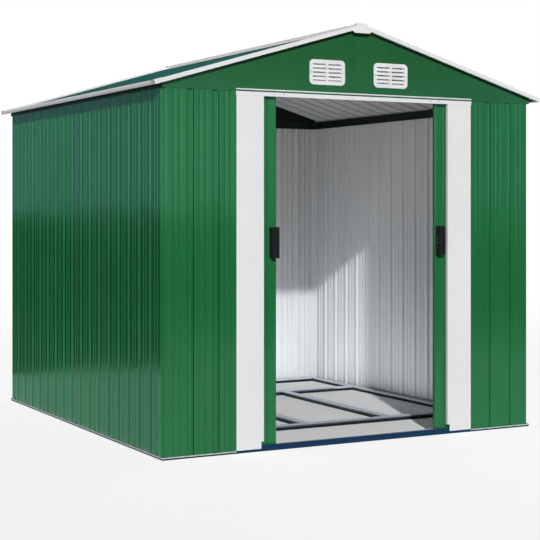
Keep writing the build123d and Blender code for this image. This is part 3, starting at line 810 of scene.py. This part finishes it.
def spread(start, stop, steps):
    """Evenly spaced numbers from start to stop."""
    return [start + (stop - start) * index / (steps - 1) for index in range(steps)]


class SHED_OT_wall_screws(bpy.types.Operator):
    """Screws along the feet, tops and corners of the walls"""
    bl_idname = "shed.wall_screws"
    bl_label = "Wall Screws"

    foot_gap = 0.0055
    lowest = 0.16
    top_gap = 0.12
    corner_gap = 0.006
    end_gap = 0.03

    def execute(self, context):
        sizes = context.scene.shed_sheets
        left, right, front, back = wall_faces()
        rail_low, rail_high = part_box("wall_rail_left")
        gable_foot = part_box("front_gable")[0].z
        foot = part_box("left_wall")[0].z + self.foot_gap
        top = (gable_foot + rail_high.z) / 2
        heights = spread(self.lowest, gable_foot - self.top_gap, context.scene.shed_screws.rows)
        side_run = back - front - sizes.rib_depth * 2
        panels = round(side_run / sizes.rib_pitch)
        step = side_run / panels
        flats = [front + sizes.rib_depth + step * (index + 0.5) for index in range(panels)]
        edge = sizes.rib_depth + sizes.rib_mouth / 2 + self.corner_gap
        places = []
        for x, outer, facing in ((left, rail_low.x, -1), (right, -rail_low.x, 1)):
            for y in flats[::2]:
                places.append(((x, y, foot), (facing, 0, 0)))
                places.append(((outer, y, top), (facing, 0, 0)))
            for y in (front + edge, back - edge):
                places += [((x, y, z), (facing, 0, 0)) for z in heights]
        for x in (left + self.end_gap, right - self.end_gap):
            for y, facing in ((front, -1), (back, 1)):
                places.append(((x, y, foot), (0, facing, 0)))
        set_screws("wall_screws", places, "shed", "green_paint", "green_paint")
        return {"FINISHED"}


class SHED_OT_trim_screws(bpy.types.Operator):
    """Screws in the jambs, header and ridge cap"""
    bl_idname = "shed.trim_screws"
    bl_label = "Trim Screws"

    header_level = 0.65
    header_places = (-0.43, -0.382, 0.382, 0.43)
    jamb_edge = 0.009
    jamb_end = 0.09
    ridge_edge = 0.02
    ridge_end = 0.12
    ridge_rows = 8
    ridge_sheet = 0.001

    def execute(self, context):
        pitch, rows = context.scene.shed_sheets.roof_pitch, context.scene.shed_screws.rows
        low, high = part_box("door_header")
        height = low.z + (high.z - low.z) * self.header_level
        header = [((x, low.y, height), (0, -1, 0)) for x in self.header_places]
        set_screws("header_screws", header, "shed", "galvanised_steel", "screw_zinc", scale=0.8)
        places = []
        for name, hand in (("left", -1), ("right", 1)):
            low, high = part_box(f"jamb_{name}")
            x, end = hand * (max(-low.x, high.x) - self.jamb_edge), self.jamb_end
            places += [((x, low.y, z), (0, -1, 0)) for z in spread(end, high.z - end, rows)]
        low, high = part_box("ridge_cap")
        flange, end = high.x - self.ridge_edge, self.ridge_end
        height = low.z + self.ridge_edge * math.tan(pitch) + self.ridge_sheet / math.cos(pitch)
        for hand in (-1, 1):
            facing = -down_slope(pitch, hand)[1]
            for y in spread(low.y + end, high.y - end, self.ridge_rows):
                places.append(((hand * flange, y, height), facing))
        set_screws("trim_screws", places, "shed", "white_paint", "white_paint", scale=0.9)
        return {"FINISHED"}


class SHED_OT_vent_screws(bpy.types.Operator):
    """Two small screws in the flange of each vent"""
    bl_idname = "shed.vent_screws"
    bl_label = "Vent Screws"

    edge = 0.0085

    def execute(self, context):
        places = []
        for name in ("left", "right"):
            low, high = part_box(f"vent_{name}")
            for x in (low.x + self.edge, high.x - self.edge):
                places.append(((x, low.y, (low.z + high.z) / 2), (0, -1, 0)))
        set_screws("vent_screws", places, "shed", "galvanised_steel", "screw_zinc", scale=0.8)
        return {"FINISHED"}


class SHED_OT_frame_screws(bpy.types.Operator):
    """Screws where the members of the floor frame meet"""
    bl_idname = "shed.frame_screws"
    bl_label = "Frame Screws"

    bar_end = 0.02

    def execute(self, context):
        pair = context.scene.shed_screws.pair
        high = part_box("floor_runners")[1]
        places = []
        for bar in ("floor_cross_front", "floor_cross_back"):
            bar_low, bar_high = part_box(bar)
            y = (bar_low.y + bar_high.y) / 2
            end = (bar_high.x - bar_low.x) / 2 - self.bar_end
            runner = high.x - (bar_high.y - bar_low.y) / 2
            for x in (-end, -runner, 0, runner, end):
                places += [((x + shift, y, high.z), UP) for shift in (-pair, pair)]
        set_screws("frame_screws", places, "shed", "galvanised_steel", "screw_zinc")
        return {"FINISHED"}


class SHED_OT_handle_screws(bpy.types.Operator):
    """Two small screws in the side of each handle"""
    bl_idname = "shed.handle_screws"
    bl_label = "Handle Screws"

    def execute(self, context):
        pair = context.scene.shed_screws.pair
        for name, hand in (("left", 1), ("right", -1)):
            low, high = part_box(f"handle_{name}")
            x = high.x if hand > 0 else low.x
            y, middle = (low.y + high.y) / 2, (low.z + high.z) / 2
            places = [((x, y, middle + shift), (hand, 0, 0)) for shift in (-pair, pair)]
            screws, body = f"handle_screws_{name}", f"{name}_door"
            set_screws(screws, places, body, "galvanised_steel", "screw_zinc", scale=0.6)
        return {"FINISHED"}


class SHED_OT_finishes(bpy.types.Operator):
    """Give every packed node its finish and soften its edges"""
    bl_idname = "shed.finishes"
    bl_label = "Finishes"

    edges = {"white_plastic": 0.0006, "black_plastic": 0.0012}
    plain_edge = 0.0003
    weld_gap = 0.00001
    flat_bend = math.radians(0.5)
    sharp_bend = math.radians(35)
    # Gables take a darker green with painted shade inside, the wall rails near-black painted shade, and the
    # ridge cap the lighter white of painted light.
    paints = {
        "front_gable": "gable_shaded_paint",
        "back_gable": "gable_shaded_paint",
        "wall_rail_left": "rail_shade_paint",
        "wall_rail_right": "rail_shade_paint",
        "wall_rail_back": "rail_shade_paint",
        "ridge_cap": "lit_trim_paint",
    }

    def execute(self, context):
        slots = {part["node"]: part["material_slot"] for part in frame["record"]["subparts"]}
        for name, node in frame["nodes"].items():
            node.data.materials.clear()
            node.data.materials.append(Paints.get(self.paints.get(name, slots[name])))
            if node.hide_render:
                continue
            weld = node.modifiers.new("joined", "WELD")
            weld.merge_threshold = self.weld_gap
            flats = node.modifiers.new("flats", "DECIMATE")
            flats.decimate_type = "DISSOLVE"
            flats.angle_limit = self.flat_bend
            soft = node.modifiers.new("soft_edges", "BEVEL")
            soft.width = self.edges.get(slots[name], self.plain_edge)
            soft.segments = 2
            soft.limit_method = "ANGLE"
            soft.angle_limit = self.sharp_bend
        return {"FINISHED"}


class SHED_OT_stage(bpy.types.Operator):
    """Set the floor, lamps, background and camera"""
    bl_idname = "shed.stage"
    bl_label = "Stage"

    camera_reach = 200
    ring_sides = 64
    lift = 0.001
    # The lamp behind the doorway: its height over its width, its level over the jambs, and its lean.
    door_ratio = 0.6
    door_level = 0.75
    door_lean = math.pi * 0.72
    # Shares of the floor's colour inside at the front and inside at the back, paler by the doorway as
    # painted light and darker towards the back as painted shade, and outside.
    floor_shades = (1.25, 0.84, 0.5)
    # Where shades start and stop, as shares of the shed's half width or depth, then of the screens.
    under_sides = (0.93, 0.96)
    under_ends = (0.95, 0.97)
    beside = (1.0, 1.7)
    back_shade_fade = (0.05, 0.9)
    band_foot = (-0.013, 0.001)
    band_top = (0.16, 0.18)
    left_to_right = (0.05, 0.42)

    def execute(self, context):
        stage, colours = context.scene.shed_stage, context.scene.shed_colours
        self.lay_floor(context, stage, colours)
        self.stand_screen(stage, colours)
        self.stand_ring(stage, colours)
        self.set_sky(context, stage)
        self.light_inside(context, stage)
        self.add_sun(context, "key_light", stage.key_aim, stage.key_strength, stage.key_spread)
        self.add_sun(context, "back_light", stage.back_aim, stage.back_strength, stage.back_spread)
        deselect()
        turn = (math.pi / 2, 0, stage.camera_turn)
        bpy.ops.object.camera_add(location=stage.camera_place, rotation=turn)
        camera = context.object
        camera.name = "photo_camera"
        camera.data.lens = stage.lens
        camera.data.shift_y = stage.shift
        camera.data.clip_end = self.camera_reach
        context.scene.camera = camera
        context.scene.view_settings.view_transform = "Standard"
        return {"FINISHED"}

    def add_sun(self, context, name, aim, strength, spread):
        """A lamp that lights all of the stage from one side."""
        deselect()
        bpy.ops.object.light_add(type="SUN")
        lamp = context.object
        lamp.name = name
        lamp.data.energy = strength
        lamp.data.angle = spread
        lamp.rotation_mode = "QUATERNION"
        lamp.rotation_quaternion = Vector(aim).to_track_quat("-Z", "Y")

    def lay_floor(self, context, stage, colours):
        """A pale floor that the camera and reflections see turn white in the distance. Inside the shed it is
        painted lighter by the doorway and darker towards the back, and beside the shed its glow falls as
        painted shade.
        """
        deselect()
        bpy.ops.mesh.primitive_plane_add(size=stage.floor_size, location=(0, 0, 0))
        floor = context.object
        floor.name = "studio_floor"
        paint = Finish("studio_floor", Specular_IOR_Level=0, Roughness=0.9, Emission_Strength=1)
        right, back = cad_box[1][:2]
        across = paint.part(paint.place, "X").size() / right
        along = paint.part(paint.place, "Y").size() / back
        outside = paint.ramp(across, *self.under_sides).larger(paint.ramp(along, *self.under_ends))
        away = paint.node("ShaderNodeVectorMath", {"operation": "LENGTH"}, {0: paint.place}, output="Value")
        white_start, white_stop = stage.glow_start / stage.floor_size, stage.glow_stop / stage.floor_size
        far = paint.ramp(away / stage.floor_size, white_start, white_stop) * background_seen(paint)
        # Painted shade: the floor's glow falls beside the shed.
        clear = paint.ramp(across.larger(along), *self.beside)
        level = stage.floor_glow - (1 - clear) * stage.floor_shade_dip
        glow = far + (1 - far) * outside * background_seen(paint) * level
        # Painted light and shade: inside, paler by the doorway, darker towards the back.
        deep = paint.ramp(paint.part(paint.place, "Y") / back * 0.5 + 0.5, *self.back_shade_fade)
        first, shaded_back_colour, open_floor = (shade(colours.floor, share) for share in self.floor_shades)
        near = paint.mix(outside, paint.mix(deep, first, shaded_back_colour), open_floor)
        colour = paint.mix(far, near, (0, 0, 0, 1))
        floor.data.materials.append(paint.surface(colour, None, None, Emission_Color=glow))

    def stand_screen(self, stage, colours):
        """An upright dark screen behind the shed, with a band above eye level."""
        height = stage.screen_height
        middle = Vector(stage.side_screen) + UP * height / 2
        self.add_sheet(middle, math.pi / 2, (stage.side_width, 1, height))
        bands = (colours.screen_low, colours.side_high, colours.side_high)
        self.mirror_only(bpy.context.object, stage, "side_screen", 1, *bands)

    def add_sheet(self, middle, lean, size):
        """A flat sheet, which lies on the floor or leans up from it."""
        deselect()
        bpy.ops.mesh.primitive_plane_add(size=1, location=middle, rotation=(lean, 0, 0))
        bpy.ops.transform.resize(value=size)
        settle()

    def stand_ring(self, stage, colours):
        """A ring of screens round the stage, and sheets on the floor before and beside the shed."""
        deselect()
        radius, height = stage.ring_radius, stage.screen_height
        bpy.ops.mesh.primitive_cylinder_add(
            vertices=self.ring_sides, radius=radius, depth=height, end_fill_type="NOTHING",
            location=(0, 0, height / 2)
        )
        settle()
        glow, bands = stage.ring_glow, (colours.ring_left, colours.ring_right)
        self.mirror_only(bpy.context.object, stage, "ring_screen", glow, colours.screen_low, *bands)
        left, front = cad_box[0][:2]
        sheets = {
            "front_floor": (-radius, radius, -radius, front),
            "left_floor": (-radius, left, front, radius),
        }
        for name, (west, east, south, north) in sheets.items():
            middle = ((west + east) / 2, (south + north) / 2, self.lift)
            self.add_sheet(middle, 0, (east - west, north - south, 1))
            self.mirror_only(bpy.context.object, stage, name, glow, colours.ring_floor, *bands)

    def mirror_only(self, screen, stage, name, glow, low, left, right):
        """Lets a screen show only in the shed's gloss: dark, with a paler band above eye level."""
        screen.name = name
        screen.visible_camera = screen.visible_diffuse = screen.visible_shadow = False
        paint = Finish(name, Specular_IOR_Level=0, Base_Color=(0, 0, 0, 1), Emission_Strength=glow)
        level = paint.part(paint.place, "Z") / stage.screen_height
        eye = stage.camera_place[2] / stage.screen_height
        foot, top = (
            paint.ramp(level, eye + start, eye + stop) for start, stop in (self.band_foot, self.band_top)
        )
        band = foot * (1 - top)
        side = paint.ramp(paint.part(paint.place, "X") / stage.ring_radius, *self.left_to_right)
        colour = paint.mix(band, shade(low, 1), paint.mix(side, shade(left, 1), shade(right, 1)))
        screen.data.materials.append(paint.surface(None, None, None, Emission_Color=colour))

    def light_inside(self, context, stage):
        """Soft light in the shed: a cool lamp on the floor that shines up, a warm one by the doorway."""
        right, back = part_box("right_wall")[0].x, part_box("back_wall")[0].y
        low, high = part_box("jamb_left")[1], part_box("jamb_right")[0]
        size = ((right - stage.fill_margin) * 2, (back - stage.fill_back - stage.fill_margin) * 2)
        place = (0, stage.fill_back, self.lift)
        self.add_fill(context, "floor_fill", place, math.pi, size, stage.fill_power, stage.fill_cool)
        size = (stage.door_fill, stage.door_fill * self.door_ratio)
        place = ((low.x + high.x) / 2, -back + stage.door_fill, low.z * self.door_level)
        lean, power, colour = self.door_lean, stage.door_power, stage.fill_warm
        self.add_fill(context, "door_fill", place, lean, size, power, colour)

    def add_fill(self, context, name, place, lean, size, power, colour):
        """A soft lamp that gives only direct light and isn't seen."""
        deselect()
        bpy.ops.object.light_add(type="AREA", location=place, rotation=(lean, 0, 0))
        fill = context.object
        fill.name = name
        fill.data.shape = "RECTANGLE"
        fill.data.size, fill.data.size_y = size
        fill.data.energy = power
        fill.data.color = colour
        fill.data.cycles.max_bounces = 0
        fill.visible_camera = fill.visible_glossy = False

    def set_sky(self, context, stage):
        """White to the camera and in reflections, and a faint even light on the shed."""
        world = bpy.data.worlds.new("studio_sky")
        context.scene.world = world
        world.use_nodes = True
        sky = Finish.of_world(world)
        level = stage.sky_strength + background_seen(sky) * (1 - stage.sky_strength)
        sky.plug(sky.shader.inputs["Strength"], level)


OPERATORS = (
    SHED_OT_wall_sheets,
    SHED_OT_roof_sheets,
    SHED_OT_eave_trims,
    SHED_OT_door_leaves,
    SHED_OT_wall_screws,
    SHED_OT_trim_screws,
    SHED_OT_vent_screws,
    SHED_OT_frame_screws,
    SHED_OT_handle_screws,
    SHED_OT_finishes,
    SHED_OT_stage,
)
GROUPS = {
    "shed_sheets": ShedSheets,
    "shed_screws": ShedScrews,
    "shed_colours": ShedColours,
    "shed_stage": ShedStage,
}


class SHED_PT_panel(bpy.types.Panel):
    """Lists the shed's sizes, colours and pieces"""
    bl_idname = "SHED_PT_panel"
    bl_label = "Shed"
    bl_space_type = "VIEW_3D"
    bl_region_type = "UI"
    bl_category = "Shed"

    def draw(self, context):
        for pointer, group in GROUPS.items():
            box = self.layout.box()
            box.label(text=group.__doc__)
            for prop in group.__annotations__:
                box.prop(getattr(context.scene, pointer), prop)
        for operator in OPERATORS:
            self.layout.operator(operator.bl_idname)


def register():
    for group in GROUPS.values():
        bpy.utils.register_class(group)
    for operator in OPERATORS:
        bpy.utils.register_class(operator)
    bpy.utils.register_class(SHED_PT_panel)
    for pointer, group in GROUPS.items():
        setattr(bpy.types.Scene, pointer, PointerProperty(type=group))


def unregister():
    for pointer in GROUPS:
        delattr(bpy.types.Scene, pointer)
    bpy.utils.unregister_class(SHED_PT_panel)
    for operator in reversed(OPERATORS):
        bpy.utils.unregister_class(operator)
    for group in reversed(GROUPS.values()):
        bpy.utils.unregister_class(group)


def main():
    register()
    for operator in OPERATORS:
        group, name = operator.bl_idname.split(".")
        getattr(getattr(bpy.ops, group), name)()


if __name__ == "__main__":
    main()
